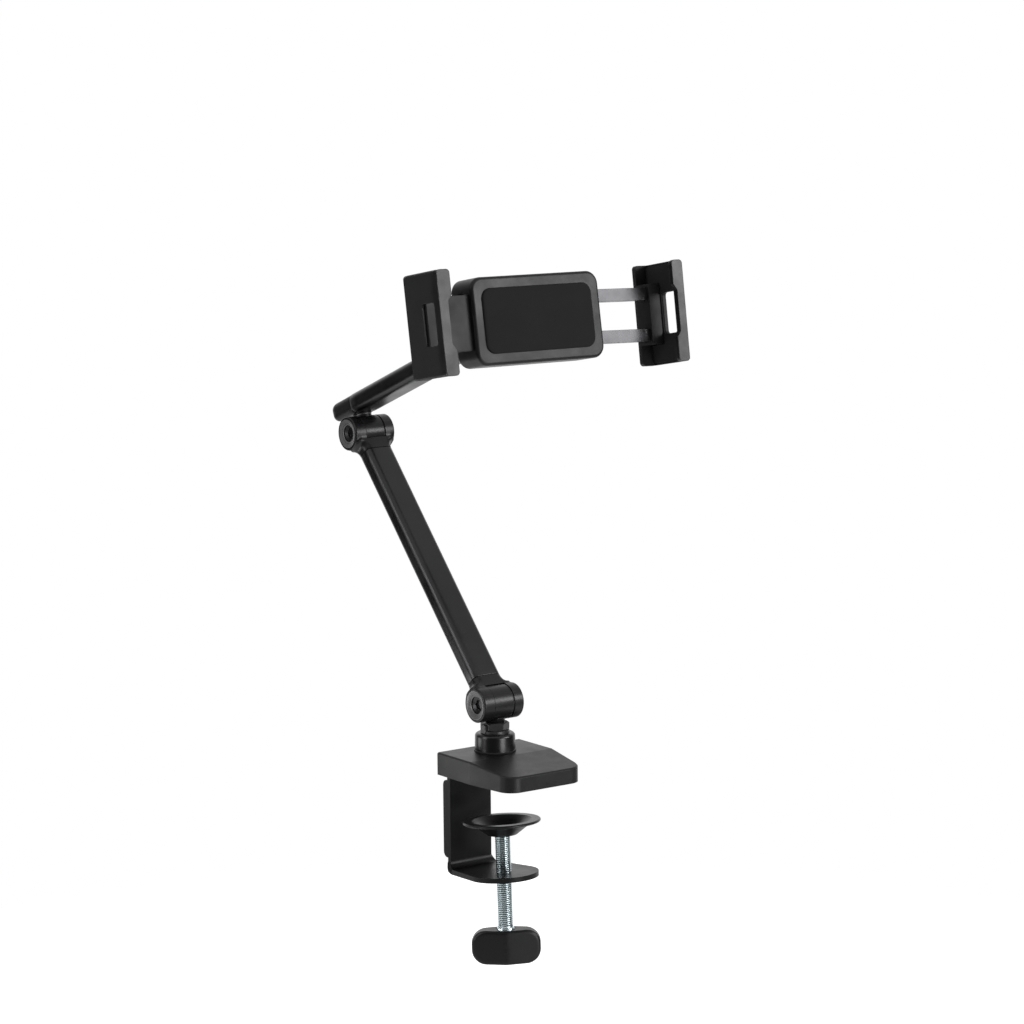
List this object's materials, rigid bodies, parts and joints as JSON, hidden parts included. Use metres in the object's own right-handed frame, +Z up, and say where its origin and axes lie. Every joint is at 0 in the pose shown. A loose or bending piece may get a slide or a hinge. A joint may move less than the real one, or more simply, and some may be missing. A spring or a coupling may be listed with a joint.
{
  "type": "tablet clamp mount",
  "caption": "Desk clamp arm for a tablet or phone: screw clamp base, two folding tube arms with pivot joints, and a sliding jaw holder that tilts and turns.",
  "frame": {"origin": "on the swivel axis, in the plane of the desk top that the rubber desk pad lies on", "axes": "+Z up; +X along the arm's pivots, to the user's right; -Y towards the user, +Y away from the user"},
  "size_m": [0.1858, 0.2453, 0.4496],
  "materials": {
    "satin_black": "moulded black plastic with a fine satin grain",
    "cover_plastic": "satin moulded cover plastic that shines softly",
    "black_steel": "black powder coat on sheet steel",
    "black_casting": "satin black coat on cast metal",
    "anodised_tube": "black anodised drawn tube",
    "turned_steel": "gloss black coat on turned steel",
    "zinc_steel": "bright zinc plated steel",
    "dark_steel": "blackened fastener steel",
    "grey_rubber": "soft black rubber",
    "ring_grey": "dark satin inlay ring",
    "nylon": "dark nylon washer",
    "foam": "closed cell foam"
  },
  "bodies": {
    "base": {"base_cover": "cover_plastic", "clamp_bracket": "black_steel", "desk_pad": "grey_rubber", "cover_screws": "dark_steel", "thread_bush": "zinc_steel", "foot_washer": "nylon"},
    "pad": {"pressure_pad": "black_steel"},
    "clamp_screw_set": {"clamp_screw": "zinc_steel", "clamp_knob": "satin_black", "knob_pin": "zinc_steel"},
    "swivel": {"swivel_cup": "turned_steel", "swivel_screw": "dark_steel", "spring_washer": "dark_steel", "tab_washer": "turned_steel", "jam_nut": "turned_steel", "lower_knuckle": "black_casting"},
    "lower_arm": {"lower_foot_fork": "black_casting", "lower_arm_tube": "anodised_tube", "lower_head_fork": "black_casting", "lower_pivot_bolt": "dark_steel", "lower_pivot_nut": "dark_steel", "lower_friction_washer": "nylon", "lower_arm_rings": "ring_grey", "elbow_pivot_bolt": "dark_steel", "elbow_pivot_nut": "dark_steel", "elbow_friction_washer": "nylon"},
    "elbow": {"elbow_knuckle": "black_casting", "elbow_swivel_washer": "nylon", "elbow_swivel_nut": "zinc_steel"},
    "upper_arm": {"upper_arm_tube": "anodised_tube", "upper_arm_saddle": "satin_black", "elbow_inner_plate": "zinc_steel", "upper_end_cap": "satin_black", "upper_tip_fork": "black_casting", "upper_arm_ring": "ring_grey", "tilt_pivot_bolt": "dark_steel", "tilt_pivot_nut": "dark_steel", "tilt_friction_washer": "nylon"},
    "tilt": {"tilt_knuckle": "black_casting", "spindle_washers": "nylon", "spindle_nut": "zinc_steel"},
    "holder": {"holder_back_shell": "satin_black", "holder_front_shell": "satin_black", "housing_screws": "dark_steel", "holder_foam_pad": "foam", "left_jaw": "satin_black", "left_jaw_liner": "grey_rubber", "web_screws": "dark_steel", "brake_shoe": "grey_rubber"},
    "slide_jaw": {"right_jaw": "satin_black", "right_jaw_liner": "grey_rubber", "jaw_rails": "anodised_tube", "rail_screws": "dark_steel"},
    "jaw_lock": {"lock_knob": "satin_black", "lock_screw": "zinc_steel"}
  },
  "joints": [
    {"name": "pad_lift", "type": "slide", "parent": "base", "child": "pad", "axis": [0, 0.0419, 0.9991], "range_m": [-0.018, 0.024]},
    {"name": "screw_turn", "type": "hinge", "parent": "pad", "child": "clamp_screw_set", "pos_m": [0, -0.0083, -0.0654], "axis": [0, 0.0419, 0.9991], "range_deg": [-5180, 6900]},
    {"name": "base_swivel", "type": "hinge", "parent": "base", "child": "swivel", "pos_m": [0, 0, 0.0154], "axis": [0, 0, 1], "continuous": true},
    {"name": "lower_hinge", "type": "hinge", "parent": "swivel", "child": "lower_arm", "pos_m": [0, 0, 0.0464], "axis": [-1, 0, 0], "range_deg": [-125, 45]},
    {"name": "elbow_hinge", "type": "hinge", "parent": "lower_arm", "child": "elbow", "pos_m": [0, 0.14457, 0.20595], "axis": [1, 0, 0], "range_deg": [-101, 58]},
    {"name": "elbow_swivel", "type": "hinge", "parent": "elbow", "child": "upper_arm", "pos_m": [0, 0.14885, 0.2171], "axis": [0, 0.3584, 0.9336], "continuous": true},
    {"name": "holder_tilt", "type": "hinge", "parent": "upper_arm", "child": "tilt", "pos_m": [0, -0.01658, 0.28842], "axis": [1, 0, 0], "range_deg": [-76, 53]},
    {"name": "holder_turn", "type": "hinge", "parent": "tilt", "child": "holder", "pos_m": [0, -0.02871, 0.29045], "axis": [0, -0.9863, 0.165], "continuous": true},
    {"name": "jaw_slide", "type": "slide", "parent": "holder", "child": "slide_jaw", "axis": [0.9997, -0.0037, -0.0224], "range_m": [-0.04, 0.038]},
    {"name": "lock_turn", "type": "hinge", "parent": "holder", "child": "jaw_lock", "pos_m": [0.036, -0.02871, 0.29045], "axis": [0, -0.9863, 0.165], "range_deg": [-90, 270]}
  ],
  "couplings": [
    {"joint": "pad_lift", "follows": "screw_turn", "m_per_rad": 0.00019894}
  ]
}
